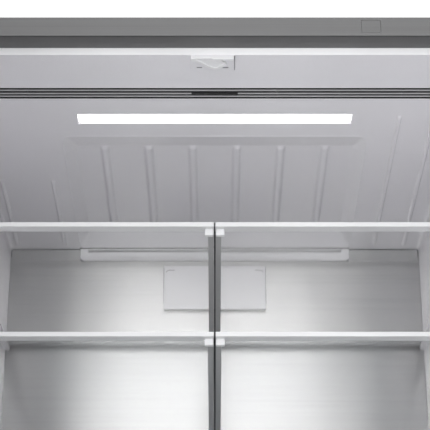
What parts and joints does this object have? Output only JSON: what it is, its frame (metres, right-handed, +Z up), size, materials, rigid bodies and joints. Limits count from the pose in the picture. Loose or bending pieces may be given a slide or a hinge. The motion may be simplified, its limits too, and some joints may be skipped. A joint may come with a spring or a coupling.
{
  "type": "french door refrigerator",
  "caption": "Tall refrigerator with two side-hinged doors over a pull-out freezer drawer; lit fresh food compartment with split glass shelves, crispers and door bins.",
  "frame": {"origin": "middle of the outline on the floor, with both doors open at a right angle", "axes": "+Z up, -Y towards the user, +X to the user's right"},
  "size_m": [1.118, 1.198, 1.775],
  "materials": {
    "case_paint": "fine satin texture",
    "frame_white": "satin white enamel",
    "foam": "rigid foam",
    "zinc_steel": "zinc plated",
    "stainless": "brushed",
    "dark_plastic": "moulded",
    "grey_plastic": "satin moulded",
    "white_plastic": "satin moulded",
    "liner_plastic": "glossy thermoformed",
    "black_plastic": "moulded",
    "shelf_steel": "satin grey powder coat",
    "shelf_glass": "clear tempered",
    "clear_plastic": "clear moulded",
    "gasket_rubber": "soft",
    "wheel_rubber": "hard",
    "lens_plastic": "opal diffuser",
    "board": "white solder mask",
    "black_enamel": "gloss enamel",
    "fin_aluminium": "mill finish"
  },
  "bodies": {
    "cabinet": {"cabinet_shell": "case_paint", "face_frame": "frame_white", "insulation_foam": "foam", "back_cover": "case_paint", "base_pan": "zinc_steel", "toe_grille": "grey_plastic", "levelling_feet": "black_plastic", "top_fascia": "grey_plastic", "fascia_hatch": "grey_plastic", "mullion_guide": "white_plastic", "fridge_liner": "liner_plastic", "vent_grille": "dark_plastic", "light_board": "board", "light_lens": "lens_plastic", "rear_panel": "stainless", "air_duct": "white_plastic", "filter_cartridge": "dark_plastic", "shelf_tracks": "shelf_steel", "shelf_arms": "shelf_steel", "upper_left_glass": "shelf_glass", "upper_right_glass": "shelf_glass", "lower_left_glass": "shelf_glass", "lower_right_glass": "shelf_glass", "upper_left_trim": "white_plastic", "upper_right_trim": "white_plastic", "lower_left_trim": "white_plastic", "lower_right_trim": "white_plastic", "crisper_frame": "white_plastic", "crisper_glass": "shelf_glass", "door_hinges": "zinc_steel", "hinge_covers": "grey_plastic", "freezer_liner": "liner_plastic", "freezer_rails": "zinc_steel", "compressor": "black_enamel", "condenser": "black_enamel", "evaporator": "fin_aluminium"},
    "left_door": {"left_door_skin": "stainless", "left_door_liner": "white_plastic", "left_door_gasket": "gasket_rubber", "left_door_handle": "stainless", "left_door_bins": "clear_plastic"},
    "right_door": {"right_door_skin": "stainless", "right_door_liner": "white_plastic", "right_door_gasket": "gasket_rubber", "right_door_handle": "stainless", "right_door_bins": "clear_plastic"},
    "flap": {"mullion_flap": "white_plastic"},
    "left_crisper": {"crisper_left": "clear_plastic"},
    "right_crisper": {"crisper_right": "clear_plastic"},
    "pantry": {"pantry_drawer": "clear_plastic"},
    "humidity_control": {"humidity_slider": "grey_plastic"},
    "freezer_drawer": {"freezer_front": "stainless", "freezer_gasket": "gasket_rubber", "freezer_handle": "stainless", "freezer_basket": "white_plastic", "freezer_slides": "zinc_steel"},
    "filter_door": {"filter_cover": "white_plastic"},
    "duct_fan_rotor": {"duct_fan": "black_plastic"},
    "condenser_fan_rotor": {"condenser_fan": "black_plastic"},
    "rear_wheels": {"rear_rollers": "wheel_rubber"}
  },
  "joints": [
    {"name": "left_door_hinge", "type": "hinge", "parent": "cabinet", "child": "left_door", "pos_m": [-0.442, -0.159, 0.7], "axis": [0, 0, 1], "range_deg": [-30, 90]},
    {"name": "right_door_hinge", "type": "hinge", "parent": "cabinet", "child": "right_door", "pos_m": [0.442, -0.159, 0.7], "axis": [0, 0, -1], "range_deg": [-30, 90]},
    {"name": "flap_hinge", "type": "hinge", "parent": "left_door", "child": "flap", "pos_m": [-0.412, -0.571, 0.752], "axis": [0, 0, -1], "range_deg": [0, 90]},
    {"name": "left_crisper_slide", "type": "slide", "parent": "cabinet", "child": "left_crisper", "axis": [0, 1, 0], "range_m": [-0.38, 0]},
    {"name": "right_crisper_slide", "type": "slide", "parent": "cabinet", "child": "right_crisper", "axis": [0, 1, 0], "range_m": [-0.38, 0]},
    {"name": "pantry_slide", "type": "slide", "parent": "cabinet", "child": "pantry", "axis": [0, 1, 0], "range_m": [-0.38, 0]},
    {"name": "humidity_slide", "type": "slide", "parent": "cabinet", "child": "humidity_control", "axis": [1, 0, 0], "range_m": [0, 0.04]},
    {"name": "freezer_slide", "type": "slide", "parent": "cabinet", "child": "freezer_drawer", "axis": [0, 1, 0], "range_m": [-0.4, 0]},
    {"name": "filter_door_hinge", "type": "hinge", "parent": "cabinet", "child": "filter_door", "pos_m": [0, 0.519, 1.5466], "axis": [1, 0, 0], "range_deg": [0, 30]},
    {"name": "duct_fan_spin", "type": "hinge", "parent": "cabinet", "child": "duct_fan_rotor", "pos_m": [0, 0.535, 0.96], "axis": [0, 1, 0], "continuous": true},
    {"name": "condenser_fan_spin", "type": "hinge", "parent": "cabinet", "child": "condenser_fan_rotor", "pos_m": [-0.02, 0.475, 0.15], "axis": [1, 0, 0], "continuous": true},
    {"name": "rear_wheels_spin", "type": "hinge", "parent": "cabinet", "child": "rear_wheels", "pos_m": [0, 0.555, 0.022], "axis": [1, 0, 0], "continuous": true}
  ]
}
